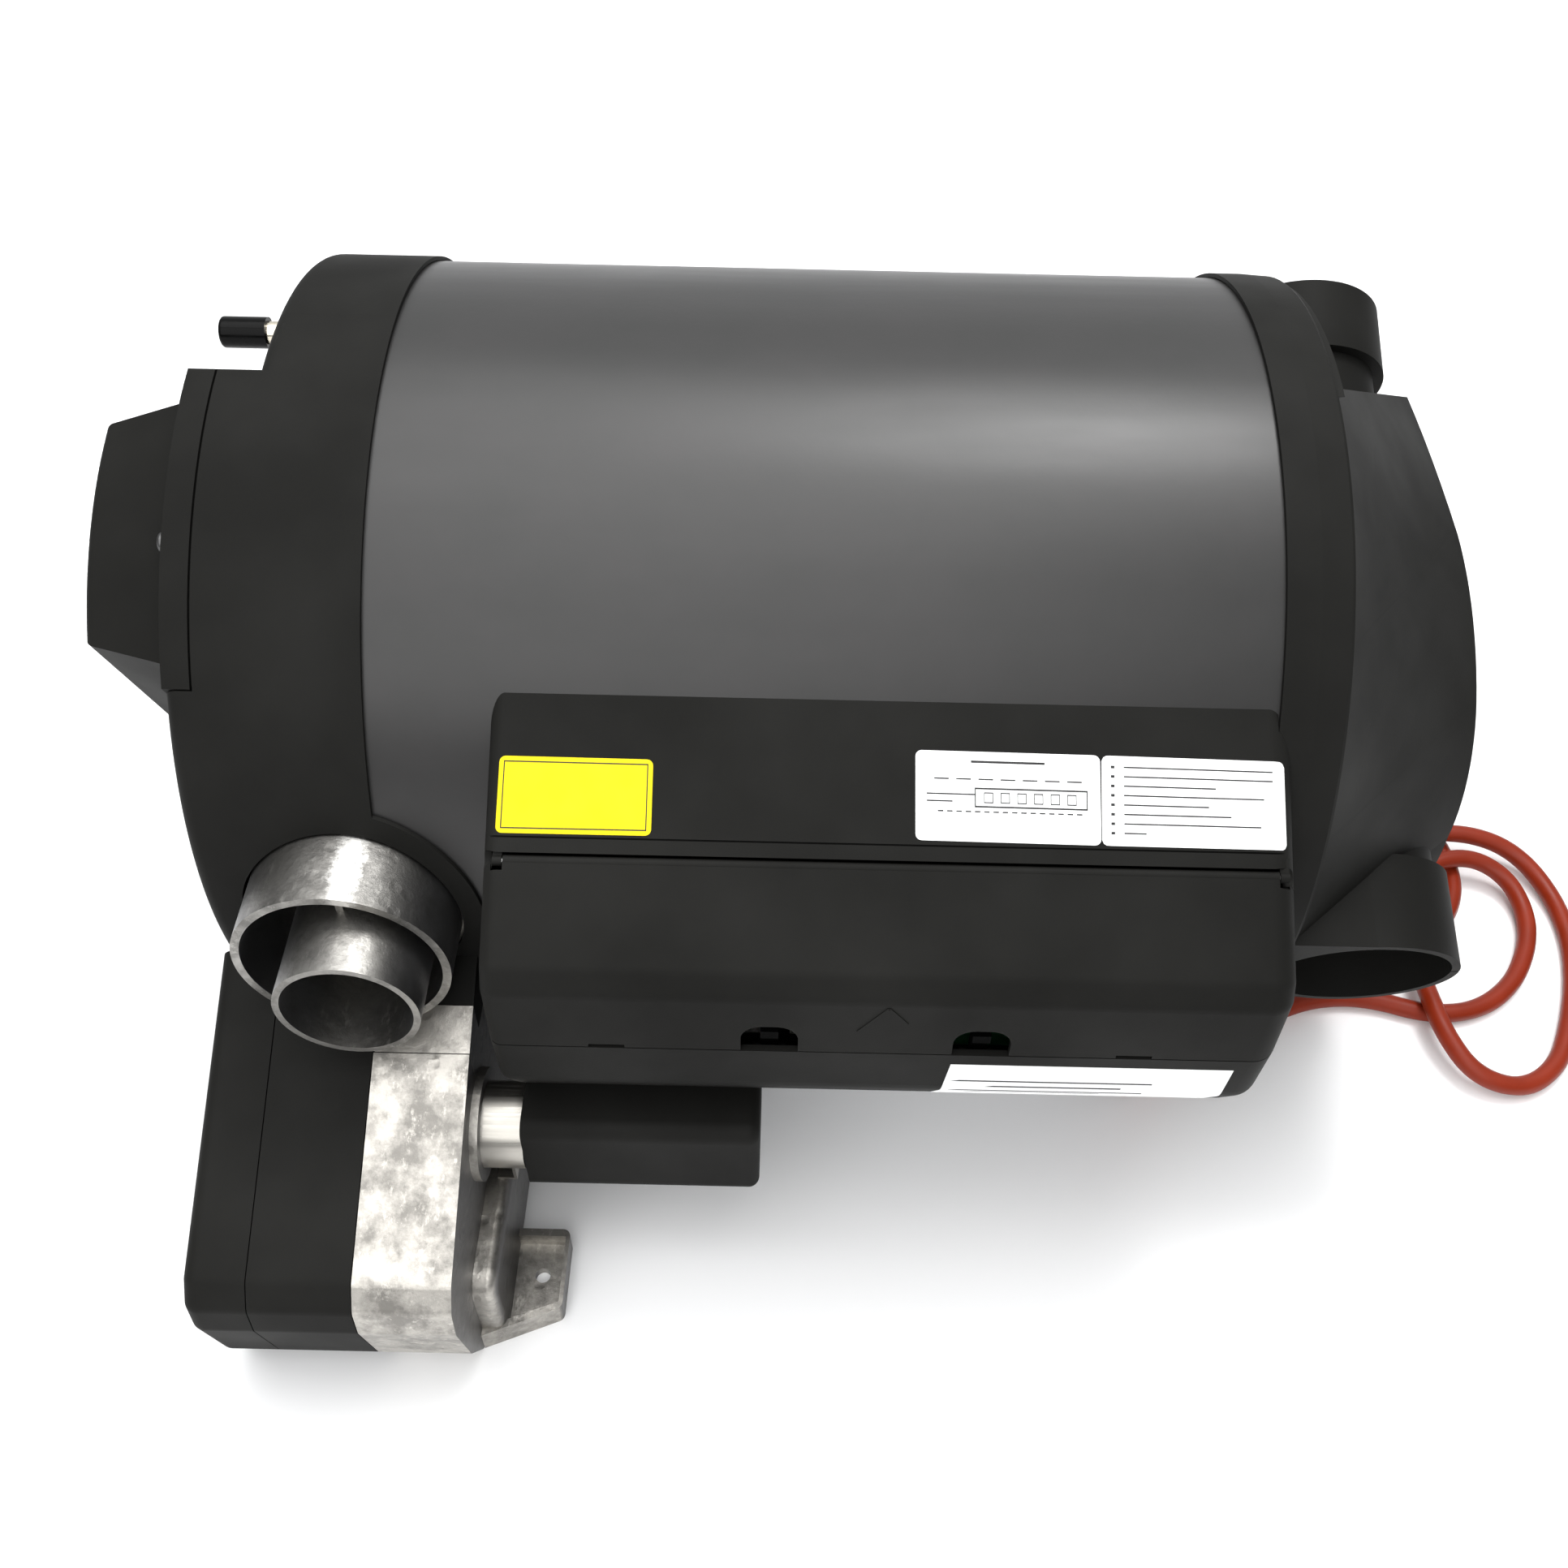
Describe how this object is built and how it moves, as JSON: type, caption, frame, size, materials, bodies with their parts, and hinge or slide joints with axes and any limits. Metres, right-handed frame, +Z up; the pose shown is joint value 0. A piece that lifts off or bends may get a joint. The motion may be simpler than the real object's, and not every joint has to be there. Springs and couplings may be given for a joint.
{
  "type": "diesel heater",
  "caption": "Vehicle air and water heater: round barrel with fan end, four duct outlets, twin flue port, burner with blower, hinged service cover and mains lead.",
  "frame": {"origin": "middle of the footprint, on the floor the heater stands on, the mains lead left out", "axes": "+X along the barrel from the fan end to the duct outlets, +Y to the rear, away from the service cover, +Z up"},
  "size_m": [0.6273, 0.5497, 0.3],
  "materials": {
    "moulded_black": "satin black moulding with a fine grain",
    "jacket_grey": "satin dark grey coating on sheet",
    "cast_alloy": "cast, slightly rough",
    "port_alloy": "cast, machined at the rims",
    "bright_steel": "bright",
    "zinc_steel": "zinc plated",
    "dark_screw": "blackened",
    "plain_steel": "plain",
    "stainless": "brushed",
    "nickel_brass": "nickel plated",
    "cap_rubber": "glossy black",
    "grommet_rubber": "soft black",
    "tank_foam": "foam",
    "circuit_board": "lacquered",
    "relay_black": "moulded",
    "capacitor_sleeve": "shrunk sleeve",
    "socket_white": "moulded",
    "terminal_green": "moulded",
    "fuse_red": "clear tinted moulding",
    "fan_grey": "moulded",
    "cable_silicone": "red-brown silicone sleeve",
    "ferrule": "tinned"
  },
  "bodies": {
    "root": {"air_guide_plate": "zinc_steel", "air_intake_spigot": "port_alloy", "air_outlet_front": "moulded_black", "air_outlet_front_low": "moulded_black", "air_outlet_rear": "moulded_black", "air_outlet_rear_low": "moulded_black", "barrel_jacket": "jacket_grey", "blower_inner_shell": "moulded_black", "blower_outer_shell": "moulded_black", "board_capacitors": "capacitor_sleeve", "board_posts": "moulded_black", "board_relays": "relay_black", "board_screws": "bright_steel", "burner_casting": "cast_alloy", "cable_grommet": "grommet_rubber", "circulation_fan_motor": "plain_steel", "combustion_blower_motor": "bright_steel", "control_board": "circuit_board", "cover_hinge_pin": "plain_steel", "device_fuse": "fuse_red", "distribution_dome": "moulded_black", "distribution_ring": "moulded_black", "electronics_tray": "moulded_black", "exhaust_spigot": "port_alloy", "fan_end_cap": "moulded_black", "fan_lid": "moulded_black", "fan_scroll": "zinc_steel", "flame_tube": "stainless", "flue_elbow_casting": "cast_alloy", "front_foot_rail": "zinc_steel", "fuel_inlet": "nickel_brass", "fuse_holder": "relay_black", "heat_exchanger": "cast_alloy", "hinge_cover_strip": "moulded_black", "intake_grille": "moulded_black", "latch_pivots": "plain_steel", "lid_screws": "dark_screw", "mains_cable": "cable_silicone", "mains_cable_coil": "cable_silicone", "mains_cable_ferrules": "ferrule", "mains_cable_gland": "grommet_rubber", "mains_cable_sheath_end": "grommet_rubber", "motor_clip": "bright_steel", "motor_hood": "moulded_black", "outlet_bulkhead": "zinc_steel", "overheat_switch": "relay_black", "plug_sockets": "socket_white", "rear_foot_rail": "zinc_steel", "tank_insulation": "tank_foam", "terminal_block": "terminal_green", "water_pipes": "nickel_brass", "water_tank": "stainless"},
    "circulation_fan": {"circulation_fan_wheel": "fan_grey"},
    "combustion_fan": {"combustion_blower_impeller": "fan_grey"},
    "service_cover_body": {"service_cover": "moulded_black"},
    "left_latch": {"cover_latch_left": "moulded_black"},
    "right_latch": {"cover_latch_right": "moulded_black"},
    "upper_cap": {"upper_water_pipe_cap": "cap_rubber"},
    "lower_cap": {"lower_water_pipe_cap": "cap_rubber"}
  },
  "joints": [
    {"name": "circulation_fan_spin", "type": "hinge", "parent": "root", "child": "circulation_fan", "pos_m": [-0.17375, 0.05301, 0.16113], "axis": [1, 0, 0], "continuous": true},
    {"name": "combustion_fan_spin", "type": "hinge", "parent": "root", "child": "combustion_fan", "pos_m": [-0.17275, -0.14525, 0.076], "axis": [1, 0, 0], "continuous": true},
    {"name": "service_cover_hinge", "type": "hinge", "parent": "root", "child": "service_cover_body", "pos_m": [0.03025, -0.12205, 0.2049], "axis": [-1, 0, 0], "range_deg": [0, 100]},
    {"name": "left_latch_flex", "type": "hinge", "parent": "root", "child": "left_latch", "pos_m": [-0.00575, -0.15185, 0.139], "axis": [-1, 0, 0], "range_deg": [0, 8], "stiffness_Nm_per_rad": 0.02},
    {"name": "right_latch_flex", "type": "hinge", "parent": "root", "child": "right_latch", "pos_m": [0.06425, -0.15185, 0.139], "axis": [-1, 0, 0], "range_deg": [0, 8], "stiffness_Nm_per_rad": 0.02},
    {"name": "upper_cap_pull", "type": "slide", "parent": "root", "child": "upper_cap", "axis": [-1, 0, 0], "range_m": [0, 0.03]},
    {"name": "lower_cap_pull", "type": "slide", "parent": "root", "child": "lower_cap", "axis": [-1, 0, 0], "range_m": [0, 0.03]}
  ]
}
